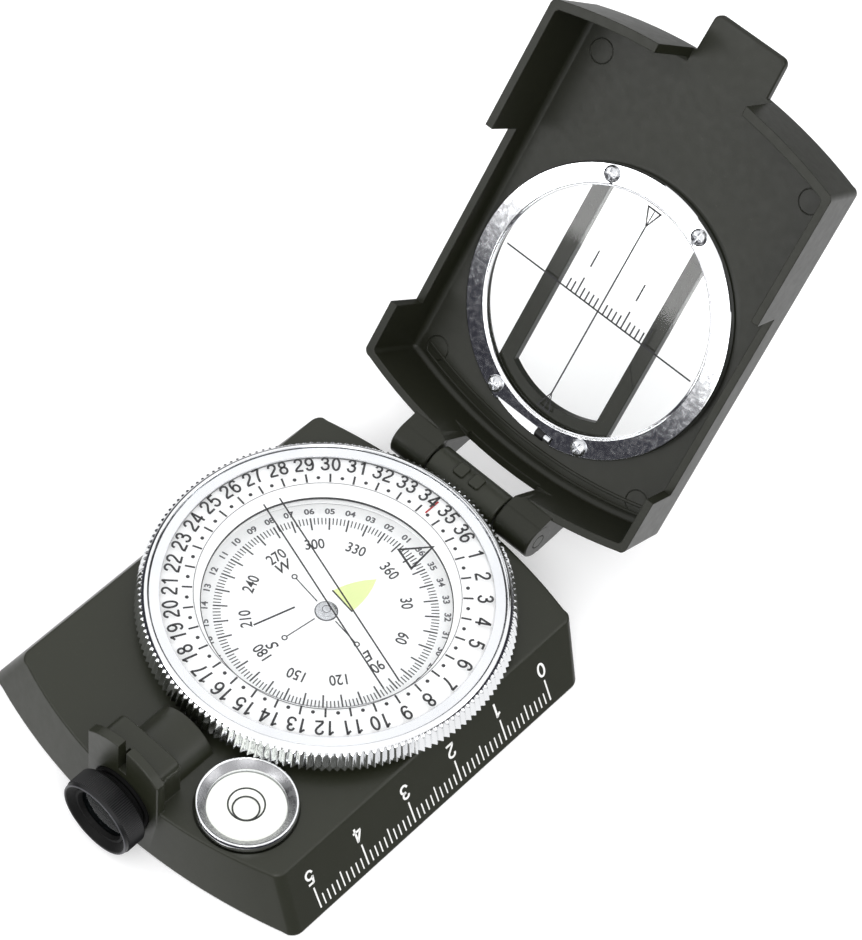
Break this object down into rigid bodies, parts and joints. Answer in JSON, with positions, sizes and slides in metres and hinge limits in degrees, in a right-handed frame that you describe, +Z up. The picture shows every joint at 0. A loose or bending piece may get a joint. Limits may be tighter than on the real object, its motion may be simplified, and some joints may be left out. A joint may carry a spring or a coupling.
{
  "type": "sighting compass",
  "caption": "Folding sighting compass with a hinged window lid, turning bezel, floating card, prism eyepiece, bubble level and edge ruler.",
  "frame": {"origin": "centre of the base's underside, straight below the card's pivot", "axes": "+Z up; +Y towards the hinge, -Y towards the eyepiece; +X towards the side with the ruler"},
  "size_m": [0.0628, 0.1357, 0.0727],
  "materials": {
    "olive_paint": "satin, lightly textured",
    "steel": "plain",
    "brass": "turned",
    "white_plastic": "printed white",
    "clear": "clear",
    "seal_rubber": "matt",
    "chrome": "bright plated",
    "magnet_iron": "dull",
    "black_plastic": "satin black"
  },
  "bodies": {
    "base": {"base_housing": "olive_paint", "bottom_cover": "olive_paint", "cover_screw_1": "steel", "cover_screw_2": "steel", "cover_screw_3": "steel", "cover_screw_4": "steel", "tripod_bush": "brass", "capsule_cup": "white_plastic", "pivot_post": "steel", "index_ring": "white_plastic", "capsule_glass": "clear", "capsule_seal": "seal_rubber", "eyepiece_prism": "clear", "level_cup": "chrome", "level_disc": "white_plastic", "level_lens": "clear", "hinge_pin": "steel"},
    "bezel": {"bezel_ring": "chrome", "crystal": "clear"},
    "card": {"compass_card": "white_plastic", "card_magnet": "magnet_iron", "jewel_cap": "steel"},
    "eyepiece_tube": {"eyepiece_barrel": "black_plastic"},
    "focus": {"focus_ring": "black_plastic", "eyepiece_lens": "clear", "lens_retainer": "black_plastic"},
    "lid": {"lid_shell": "olive_paint", "window_glass": "clear", "window_ring": "chrome", "window_screw_1": "steel", "window_screw_2": "steel", "window_screw_3": "steel", "window_screw_4": "steel", "window_catch_pin": "steel", "window_spring_bar": "chrome"}
  },
  "joints": [
    {"name": "lid_hinge", "type": "hinge", "parent": "base", "child": "lid", "pos_m": [0, 0.0318, 0.0112], "axis": [-1, 0, 0], "range_deg": [-124.3, 30]},
    {"name": "bezel_spin", "type": "hinge", "parent": "base", "child": "bezel", "pos_m": [0, 0, 0.0136], "axis": [0, 0, 1], "continuous": true},
    {"name": "card_spin", "type": "hinge", "parent": "base", "child": "card", "pos_m": [0, 0, 0.0096], "axis": [0, 0, 1], "continuous": true},
    {"name": "focus_slide", "type": "slide", "parent": "base", "child": "eyepiece_tube", "axis": [0, -1, 0], "range_m": [-0.00015, 0.001]},
    {"name": "focus_turn", "type": "hinge", "parent": "eyepiece_tube", "child": "focus", "pos_m": [0, -0.046, 0.00715], "axis": [0, -1, 0], "range_deg": [-40, 245]}
  ],
  "couplings": [
    {"joint": "focus_turn", "follows": "focus_slide", "rad_per_m": 4188.8}
  ]
}
